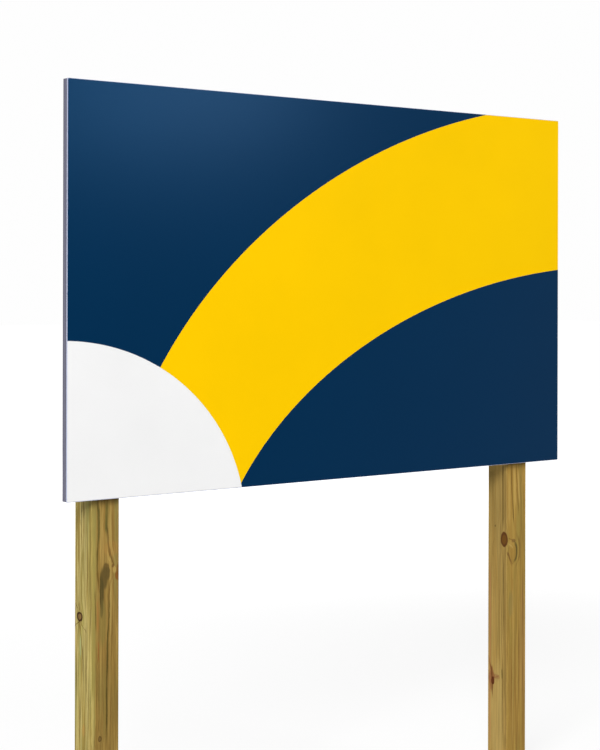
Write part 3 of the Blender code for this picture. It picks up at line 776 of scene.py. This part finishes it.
# Noises that make the grain: seed step, width and length in mm, detail and roughness. Real latewood
# lines are about 4 mm apart and real fibres about 0.1 mm wide: both are drawn coarser to show.
grainNoises = {
    "wander": (20.0, 13.0, 26.0, 2.0, 0.5),
    "streak": (0.0, 7.5, 380.0, 4.0, 0.65),
    "fibre": (40.0, 3.4, 110.0, 3.0, 0.5),
    "salt": (80.0, 22.5, 304.0, 1.0, 0.5),
    "late": (120.0, 13.0, 900.0, 1.5, 0.5),
}
faceSeeds = {"front": 0.0, "left": 3.3, "rear": 6.6, "right": 9.9}
endWood = {
    "light": "#A8935A",
    "dark": "#6E5426",
    "pith": (14.0, 22.0),     # mm from the post's middle
    "ring": 4.5,              # mm, a year's growth
    "late": (0.35, 0.95),     # of a ring, where light wood turns to dark
    "wobble": 9.0,            # mm that the rings stray from round
    "wobbleScale": 0.03,
}


def plotted(tree, value, points):
    # a curve through (height, across) points in mm, read at the height
    spread = addNode(tree, "MapRange", {"Value": value, "From Max": pine["tallest"]})
    curve = addNode(tree, "FloatCurve", {"Value": spread})
    line = curve.mapping.curves[0]
    pairs = sorted(
        (height / pine["tallest"], 0.5 + across / (2 * pine["widest"])) for height, across in points
    )
    pairs = [(0.0, pairs[0][1])] + pairs + [(1.0, pairs[-1][1])]
    line.points[0].location = pairs[0]
    line.points[1].location = pairs[-1]
    for pair in pairs[1:-1]:
        line.points.new(*pair)
    curve.mapping.update()
    return addNode(tree, "MapRange", {
        "Value": curve, "To Min": -pine["widest"], "To Max": pine["widest"],
    })


def grainNoise(tree, name, across, height, seed):
    step, width, length, detail, rough = grainNoises[name]
    place = addNode(tree, "CombineXYZ", {
        "X": addNode(tree, "Math", {0: across, 1: width}, operation="DIVIDE"),
        "Y": seed + step,
        "Z": addNode(tree, "Math", {0: height, 1: length}, operation="DIVIDE"),
    })
    return addNode(tree, "TexNoise", {
        "Vector": place, "Scale": 1.0, "Detail": detail, "Roughness": rough,
    })


def knotDistance(tree, spot, height, across, halfHeight, halfWidth):
    # 1 at the rim of an ellipse on the face
    away = addNode(tree, "VectorMath", {0: spot, 1: (across, 0.0, height)}, operation="SUBTRACT")
    away = addNode(tree, "VectorMath", {
        0: away, 1: (1 / halfWidth, 0.0, 1 / halfHeight),
    }, operation="MULTIPLY")
    return addNode(tree, "VectorMath", {0: away}, operation="LENGTH").outputs["Value"]


def drawPatch(tree, colour, spot, patch):
    tone, strength, *ellipse = patch
    inner, outer = pine["patchEdge"]
    share = addNode(tree, "MapRange", {
        "Value": knotDistance(tree, spot, *ellipse),
        "From Min": inner, "From Max": outer, "To Min": strength, "To Max": 0.0,
    }, interpolation_type="SMOOTHSTEP")
    return addNode(tree, "MixRGB", {"Fac": share, "Color1": colour, "Color2": linear(tone)})


def drawLine(tree, colour, across, height, ink, line):
    tone, strength, halfWidth, points = line
    heights = [point[0] for point in points]
    top, bottom = max(heights), min(heights)
    fade = min(pine["fadeShare"] * (top - bottom), pine["fade"])
    offset = addNode(tree, "Math", {
        0: across, 1: plotted(tree, height, points),
    }, operation="SUBTRACT")
    crisp = addNode(tree, "MapRange", {
        "Value": offset,
        "From Min": pine["crispSide"][0] * halfWidth, "From Max": pine["crispSide"][1] * halfWidth,
    }, interpolation_type="SMOOTHSTEP")
    soft = addNode(tree, "MapRange", {
        "Value": offset,
        "From Min": pine["softSide"][0] * halfWidth, "From Max": pine["softSide"][1] * halfWidth,
        "To Min": 1.0, "To Max": 0.0,
    }, interpolation_type="SMOOTHSTEP")
    body = addNode(tree, "Math", {0: crisp, 1: soft}, operation="MULTIPLY")
    body = addNode(tree, "Math", {
        0: body, 1: min(pine["lineGain"] * strength, pine["lineMost"]),
    }, operation="MULTIPLY")
    upper = addNode(tree, "MapRange", {
        "Value": height, "From Min": top, "From Max": top - fade,
    }, interpolation_type="SMOOTHSTEP")
    lower = addNode(tree, "MapRange", {
        "Value": height, "From Min": bottom, "From Max": bottom + fade,
    }, interpolation_type="SMOOTHSTEP")
    share = addNode(tree, "Math", {0: upper, 1: lower}, operation="MULTIPLY")
    share = addNode(tree, "Math", {0: share, 1: body}, operation="MULTIPLY")
    share = addNode(tree, "Math", {0: share, 1: ink}, operation="MULTIPLY")
    return addNode(tree, "MixRGB", {"Fac": share, "Color1": colour, "Color2": linear(tone)})


def drawKnot(tree, colour, spot, knot):
    tone, rim, *ellipse = knot
    far = knotDistance(tree, spot, *ellipse)
    inside = addNode(tree, "MapRange", {
        "Value": far, "From Min": pine["knotHeart"][0], "From Max": pine["knotHeart"][1],
        "To Min": 1.0, "To Max": 0.0,
    }, interpolation_type="SMOOTHSTEP")
    onRim = addNode(tree, "MapRange", {
        "Value": distanceFrom(tree, far, pine["knotRim"]),
        "From Min": pine["knotRimEdge"][0], "From Max": pine["knotRimEdge"][1],
        "To Min": 1.0, "To Max": 0.0,
    }, interpolation_type="SMOOTHSTEP")
    colour = addNode(tree, "MixRGB", {"Fac": inside, "Color1": colour, "Color2": linear(tone)})
    return addNode(tree, "MixRGB", {"Fac": onRim, "Color1": colour, "Color2": linear(rim)})


def bendGrain(tree, grain, spot, knot):
    # the coordinate is drawn in towards the knot's middle, so that the grain gives way around it
    height, across, halfHeight, halfWidth = knot[2:]
    tall, wide = pine["pullTall"] * halfHeight, pine["pullWide"] * halfWidth
    far = knotDistance(tree, spot, height, across, tall, wide)
    pull = addNode(tree, "MapRange", {
        "Value": far, "From Max": pine["pullReach"], "To Min": pine["pull"], "To Max": 0.0,
    }, interpolation_type="SMOOTHSTEP")
    offset = addNode(tree, "Math", {0: grain, 1: across}, operation="SUBTRACT")
    offset = addNode(tree, "Math", {0: offset, 1: pull}, operation="MULTIPLY")
    return addNode(tree, "Math", {0: grain, 1: offset}, operation="SUBTRACT")


def faceColour(tree, across, height, face, seed):
    # every mark wanders a little, as grain does
    wander = grainNoise(tree, "wander", across, height, seed).outputs["Color"]
    wander = addNode(tree, "VectorMath", {0: wander, 1: (noiseMiddle,) * 3}, operation="SUBTRACT")
    wander = addNode(tree, "VectorMath", {0: wander, 1: pine["wanderBy"]}, operation="MULTIPLY")
    spot = addNode(tree, "CombineXYZ", {"X": across, "Z": height})
    spot = addNode(tree, "VectorMath", {0: spot, 1: wander}, operation="ADD")
    moved = addNode(tree, "SeparateXYZ", {"Vector": spot})
    across, height = moved.outputs["X"], moved.outputs["Z"]
    grain = across
    for knot in face["knots"]:
        grain = bendGrain(tree, grain, spot, knot)
    # long streaks of light and dark wood
    streaks = grainNoise(tree, "streak", grain, height, seed)
    fibres = grainNoise(tree, "fibre", grain, height, seed)
    half = pine["streakNoise"] / face["grain"]
    share = addNode(tree, "MapRange", {
        "Value": streaks, "From Min": noiseMiddle - half, "From Max": noiseMiddle + half,
    })
    colour = addNode(tree, "MixRGB", {
        "Fac": share, "Color1": linear(face["light"]), "Color2": linear(face["dark"]),
    })
    # treatment salts: greener stretches
    share = addNode(tree, "MapRange", {
        "Value": grainNoise(tree, "salt", grain, height, seed),
        "From Min": pine["saltNoise"][0], "From Max": pine["saltNoise"][1],
        "To Max": pine["saltShare"],
    })
    colour = addNode(tree, "MixRGB", {
        "Fac": share, "Color1": colour, "Color2": linear(face["fleck"]),
    })
    # thin latewood lines, where a stretched noise crosses its middle value
    late = grainNoise(tree, "late", grain, height, seed)
    late = distanceFrom(tree, late, noiseMiddle)
    share = addNode(tree, "MapRange", {
        "Value": late, "From Max": pine["lateNoise"], "To Min": pine["lateShare"], "To Max": 0.0,
    }, interpolation_type="SMOOTHSTEP")
    colour = addNode(tree, "MixRGB", {
        "Fac": share, "Color1": colour, "Color2": linear(face["late"]),
    })
    # lighter or darker by height, partly the wood's tone and partly painted light and shade, from
    # per cent to a factor
    toneAndPaintedLight = addNode(tree, "Math", {
        0: plotted(tree, height, face["toneAndPaintedLight"]), 1: 0.01, 2: 1.0,
    }, operation="MULTIPLY_ADD")
    colour = addNode(tree, "VectorMath", {0: colour, "Scale": toneAndPaintedLight}, operation="SCALE")
    for patch in face["patches"]:
        colour = drawPatch(tree, colour, spot, patch)
    ink = addNode(tree, "MapRange", {
        "Value": fibres, "From Min": noiseLow, "From Max": noiseHigh,
        "To Min": pine["lineInk"][0], "To Max": pine["lineInk"][1],
    })
    for line in face["lines"]:
        colour = drawLine(tree, colour, across, height, ink, line)
    for knot in face["knots"]:
        colour = drawKnot(tree, colour, spot, knot)
    # fine fibres over it all
    swing = pine["fibreGain"] * face["grain"]
    gain = addNode(tree, "MapRange", {
        "Value": fibres, "From Min": noiseLow, "From Max": noiseHigh,
        "To Min": 1 - swing, "To Max": 1 + swing,
    })
    colour = addNode(tree, "VectorMath", {0: colour, "Scale": gain}, operation="SCALE")
    return colour, fibres


def endGrain(tree, acrossX, acrossY, seed):
    # growth rings round a pith off the post's middle
    spot = addNode(tree, "CombineXYZ", {"X": acrossX, "Y": acrossY, "Z": seed})
    wobble = addNode(tree, "TexNoise", {
        "Vector": spot, "Scale": endWood["wobbleScale"], "Detail": 2.0,
    })
    away = addNode(tree, "VectorMath", {0: spot, 1: (*endWood["pith"], seed)}, operation="SUBTRACT")
    radius = addNode(tree, "VectorMath", {0: away}, operation="LENGTH").outputs["Value"]
    wobble = addNode(tree, "Math", {0: wobble, 1: endWood["wobble"]}, operation="MULTIPLY")
    radius = addNode(tree, "Math", {0: radius, 1: wobble}, operation="ADD")
    phase = addNode(tree, "Math", {0: radius, 1: endWood["ring"]}, operation="DIVIDE")
    phase = addNode(tree, "Math", {0: phase}, operation="FRACT")
    late = addNode(tree, "MapRange", {
        "Value": phase, "From Min": endWood["late"][0], "From Max": endWood["late"][1],
    }, interpolation_type="SMOOTHSTEP")
    return addNode(tree, "MixRGB", {
        "Fac": late, "Color1": linear(endWood["light"]), "Color2": linear(endWood["dark"]),
    })


def treatedPine(post):
    low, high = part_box(post["node"])
    material, tree = newMaterial("treatedPine." + post["node"])
    place = addNode(tree, "TexCoord").outputs["Object"]
    middle = ((low[0] + high[0]) / 2, (low[1] + high[1]) / 2, 0.0)
    local = addNode(tree, "VectorMath", {0: place, 1: middle}, operation="SUBTRACT")
    local = addNode(tree, "VectorMath", {0: local, "Scale": 1 / mm}, operation="SCALE")
    local = addNode(tree, "SeparateXYZ", {"Vector": local})
    acrossX, acrossY, height = local.outputs["X"], local.outputs["Y"], local.outputs["Z"]
    faces = {}
    for side, step in faceSeeds.items():
        across = acrossX if side in ("front", "rear") else acrossY
        faces[side] = faceColour(tree, across, height, post[side], post["seed"] + step)
    # which face a point is on, from where it lies in the section
    sides = addNode(tree, "Math", {
        0: addNode(tree, "Math", {0: acrossX}, operation="ABSOLUTE"),
        1: addNode(tree, "Math", {0: acrossY}, operation="ABSOLUTE"),
    }, operation="GREATER_THAN")
    isRight = addNode(tree, "Math", {0: acrossX, 1: 0.0}, operation="GREATER_THAN")
    isRear = addNode(tree, "Math", {0: acrossY, 1: 0.0}, operation="GREATER_THAN")
    normal = addNode(tree, "NewGeometry").outputs["Normal"]
    up = addNode(tree, "SeparateXYZ", {"Vector": normal}).outputs["Z"]
    up = addNode(tree, "Math", {0: up}, operation="ABSOLUTE")
    isEnd = addNode(tree, "Math", {0: up, 1: squareOn}, operation="GREATER_THAN")
    frontOrRear = addNode(tree, "MixRGB", {
        "Fac": isRear, "Color1": faces["front"][0], "Color2": faces["rear"][0],
    })
    leftOrRight = addNode(tree, "MixRGB", {
        "Fac": isRight, "Color1": faces["left"][0], "Color2": faces["right"][0],
    })
    colour = addNode(tree, "MixRGB", {"Fac": sides, "Color1": frontOrRear, "Color2": leftOrRight})
    colour = addNode(tree, "MixRGB", {
        "Fac": isEnd, "Color1": colour, "Color2": endGrain(tree, acrossX, acrossY, post["seed"]),
    })
    # fibres stand up a little, on the rear and right by the front's and left's pattern
    relief = addNode(tree, "MixRGB", {
        "Fac": sides, "Color1": faces["front"][1], "Color2": faces["left"][1],
    })
    bump = addNode(tree, "Bump", {
        "Height": relief, "Strength": pine["fibreStrength"], "Distance": pine["fibreDepth"],
    })
    finishMaterial(tree, {
        "Base Color": colour, "Roughness": pine["roughness"],
        "Specular IOR Level": pine["level"], "Normal": bump,
    })
    dress([post["node"]], material)
    print("post dressed:", post["node"], len(tree.nodes), "nodes")


makeCamera()
makeWorld()
makeFloor()
makeLamps()
print("camera, light and floor placed")
dressFilms()
compositeSheet()
foamTape()
dressFrame()
dressFixings()
treatedPine(leftPost)
treatedPine(rightPost)
